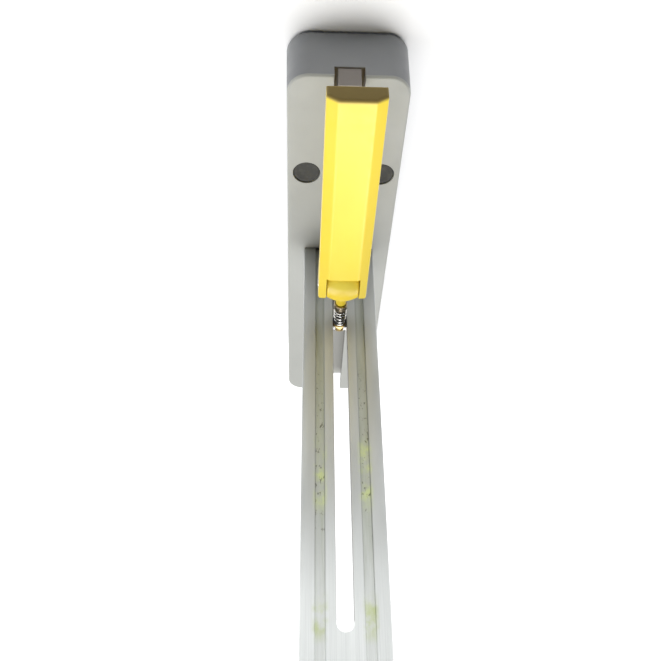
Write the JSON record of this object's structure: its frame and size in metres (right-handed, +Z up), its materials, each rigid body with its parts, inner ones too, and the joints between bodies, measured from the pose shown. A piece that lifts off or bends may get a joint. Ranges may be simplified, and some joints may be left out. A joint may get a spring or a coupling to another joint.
{
  "type": "glass cutter",
  "caption": "Upright glass cutter: slotted post on a channelled base, with a scoring head that a quick-release lever clamps at any height.",
  "frame": {"origin": "centre of the base's underside, on the face of the non-slip pad", "axes": "+Z up along the post, +Y along the base away from the lever's tip, +X across the base"},
  "size_m": [0.0462, 0.2324, 0.2068],
  "materials": {
    "grey_plastic": "fine moulded texture",
    "dark_plastic": "moulded",
    "yellow_plastic": "satin gloss",
    "black_rubber": "matte",
    "satin_aluminium": "satin, drawn along the bar",
    "bright_steel": "bright",
    "spring_steel": "oiled wire",
    "brass": "machined",
    "carbide": "ground carbide"
  },
  "bodies": {
    "base": {"base_body": "grey_plastic", "base_cover": "dark_plastic", "base_pad": "black_rubber", "channel_stop": "grey_plastic", "plug_left": "black_rubber", "plug_right": "black_rubber", "cover_screw_1": "bright_steel", "cover_screw_2": "bright_steel", "cover_screw_3": "bright_steel", "cover_screw_4": "bright_steel"},
    "post": {"slotted_bar": "satin_aluminium", "post_foot": "satin_aluminium", "channel_nut": "bright_steel", "foot_screw": "brass", "bar_screw_left": "bright_steel", "bar_screw_right": "bright_steel"},
    "head": {"slot_bush": "brass", "slot_keeper": "bright_steel", "head_block": "satin_aluminium", "head_screw_left": "bright_steel", "head_screw_right": "bright_steel", "wheel_holder": "brass", "wheel_axle": "bright_steel", "clamp_rod": "bright_steel", "clamp_spring": "spring_steel"},
    "wheel": {"cutting_wheel": "carbide"},
    "barrel": {"lever_barrel": "yellow_plastic", "spring_collar": "brass"},
    "lever": {"clamp_lever": "yellow_plastic", "pivot_pin": "bright_steel"}
  },
  "joints": [
    {"name": "post_slide", "type": "slide", "parent": "base", "child": "post", "axis": [0, 1, 0], "range_m": [-0.04, 0.07]},
    {"name": "head_slide", "type": "slide", "parent": "post", "child": "head", "axis": [0, 0, 1], "range_m": [-0.0035, 0.124]},
    {"name": "barrel_slide", "type": "slide", "parent": "head", "child": "barrel", "axis": [0, 1, 0], "range_m": [0, 0.003], "stiffness_N_per_m": 600, "deforming": ["clamp_spring"]},
    {"name": "lever_hinge", "type": "hinge", "parent": "barrel", "child": "lever", "pos_m": [0, -0.0356, 0.0649], "axis": [-1, 0, 0], "range_deg": [0, 95]},
    {"name": "wheel_spin", "type": "hinge", "parent": "head", "child": "wheel", "pos_m": [0, 0.0111, 0.0479], "axis": [0, 0, 1], "continuous": true}
  ]
}
